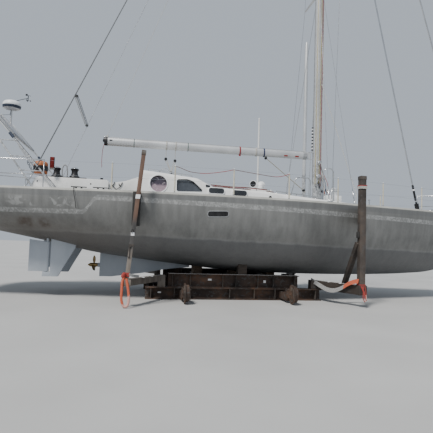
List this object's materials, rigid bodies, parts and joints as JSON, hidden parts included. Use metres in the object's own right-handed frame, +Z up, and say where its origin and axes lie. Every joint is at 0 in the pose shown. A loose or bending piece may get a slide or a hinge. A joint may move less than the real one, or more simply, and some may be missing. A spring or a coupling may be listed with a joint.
{
  "type": "sailing yacht on a yard carriage",
  "caption": "Aluminium cruising sailing yacht with twin rudders, doghouse, stepped mast and stowed boom, standing on the yard carriage that holds it.",
  "frame": {"origin": "on the ground under the middle of the yacht's length, on the centreline", "axes": "+X forward towards the stem, +Y to port, +Z up along the mast"},
  "size_m": [16.8, 5.72, 21.9],
  "materials": {
    "bare_aluminium": "weathered bare plate with streaks",
    "underwater_paint": "matt pale blue grey primer",
    "white_paint": "weathered satin paint",
    "window_glass": "tinted acrylic",
    "black_metal": "black anodised",
    "stainless": "polished tube",
    "spar": "silver anodised",
    "rope": "braided",
    "bronze": "dull",
    "solar_cells": "glossy",
    "orange_plastic": "faded",
    "white_plastic": "moulded",
    "rusty_steel": "rusted and flaking",
    "grey_steel": "worn grey paint with rust",
    "timber": "rough sawn, weathered"
  },
  "bodies": {
    "yacht": {"hull": "bare_aluminium", "stub_keel": "underwater_paint", "skeg_starboard": "underwater_paint", "skeg_port": "underwater_paint", "doghouse": "white_paint", "glazing_starboard": "window_glass", "glazing_port": "window_glass", "coachroof": "white_paint", "cockpit_coaming": "white_paint", "winches_starboard": "black_metal", "winches_port": "black_metal", "helm_pedestal": "white_paint", "cowl_vents": "white_plastic", "vent_capsule": "white_plastic", "windlass": "stainless", "guardrail_starboard": "stainless", "guardrail_port": "stainless", "bow_pulpit": "stainless", "stern_rail": "stainless", "gantry": "spar", "solar_panel": "solar_cells", "radome": "white_plastic", "rope_reel": "orange_plastic", "mast": "spar", "forestay": "stainless", "inner_forestay": "stainless", "backstay_starboard": "stainless", "backstay_port": "stainless", "shrouds_starboard": "stainless", "shrouds_port": "stainless", "stowed_pole": "spar", "deck_pole": "white_paint", "mast_rail_starboard": "stainless", "mast_rail_port": "stainless", "carriage_lower": "rusty_steel", "carriage_upper": "grey_steel", "keel_block_1": "timber", "keel_block_2": "timber", "keel_block_3": "timber", "bilge_block_starboard": "timber", "bilge_block_port": "timber", "post_aft_starboard": "rusty_steel", "post_aft_port": "rusty_steel", "post_fore_starboard": "rusty_steel", "post_fore_port": "rusty_steel"},
    "rudder_blade_starboard": {"rudder_starboard": "underwater_paint"},
    "rudder_blade_port": {"rudder_port": "underwater_paint"},
    "helm": {"steering_wheel": "stainless"},
    "screw": {"propeller": "bronze"},
    "boom_gear": {"boom": "spar", "topping_lift": "rope", "mainsheet": "rope"},
    "door": {"cabin_door": "white_paint"},
    "fore_lid": {"fore_hatch": "window_glass"},
    "saloon_lid": {"saloon_hatch": "window_glass"},
    "wheel_aft_starboard": {"rail_wheel_aft_starboard": "rusty_steel"},
    "wheel_aft_port": {"rail_wheel_aft_port": "rusty_steel"},
    "wheel_fore_starboard": {"rail_wheel_fore_starboard": "rusty_steel"},
    "wheel_fore_port": {"rail_wheel_fore_port": "rusty_steel"}
  },
  "joints": [
    {"name": "rudder_starboard_turn", "type": "hinge", "parent": "yacht", "child": "rudder_blade_starboard", "pos_m": [-5.6, -0.9, 1], "axis": [0, 0, 1], "range_deg": [-35, 35]},
    {"name": "rudder_port_turn", "type": "hinge", "parent": "yacht", "child": "rudder_blade_port", "pos_m": [-5.6, 0.9, 1], "axis": [0, 0, 1], "range_deg": [-35, 35]},
    {"name": "helm_turn", "type": "hinge", "parent": "yacht", "child": "helm", "pos_m": [-4.83, 0, 2.88], "axis": [1, 0, 0], "range_deg": [-420, 420]},
    {"name": "propeller_spin", "type": "hinge", "parent": "yacht", "child": "screw", "pos_m": [-4.465, 0, 0.8], "axis": [1, 0, 0], "continuous": true},
    {"name": "boom_swing", "type": "hinge", "parent": "yacht", "child": "boom_gear", "pos_m": [2.06, 0, 4.44], "axis": [0, 0, 1], "range_deg": [-55, 55]},
    {"name": "door_swing", "type": "hinge", "parent": "yacht", "child": "door", "pos_m": [-3.245, 0.375, 2.8], "axis": [0, 0, 1], "range_deg": [-110, 0]},
    {"name": "fore_hatch_lift", "type": "hinge", "parent": "yacht", "child": "fore_lid", "pos_m": [4.434, 0, 2.795], "axis": [0, 1, 0], "range_deg": [0, 100]},
    {"name": "saloon_hatch_lift", "type": "hinge", "parent": "yacht", "child": "saloon_lid", "pos_m": [1.314, 0, 3.065], "axis": [0, 1, 0], "range_deg": [0, 100]},
    {"name": "wheel_aft_starboard_roll", "type": "hinge", "parent": "yacht", "child": "wheel_aft_starboard", "pos_m": [-2, -2.2, 0.262], "axis": [1, 0, 0], "continuous": true},
    {"name": "wheel_aft_port_roll", "type": "hinge", "parent": "yacht", "child": "wheel_aft_port", "pos_m": [-2, 2.2, 0.262], "axis": [1, 0, 0], "continuous": true},
    {"name": "wheel_fore_starboard_roll", "type": "hinge", "parent": "yacht", "child": "wheel_fore_starboard", "pos_m": [0.82, -2.2, 0.262], "axis": [1, 0, 0], "continuous": true},
    {"name": "wheel_fore_port_roll", "type": "hinge", "parent": "yacht", "child": "wheel_fore_port", "pos_m": [0.82, 2.2, 0.262], "axis": [1, 0, 0], "continuous": true}
  ],
  "couplings": [
    {"joint": "rudder_port_turn", "follows": "rudder_starboard_turn", "ratio": 1},
    {"joint": "helm_turn", "follows": "rudder_starboard_turn", "ratio": 12}
  ]
}
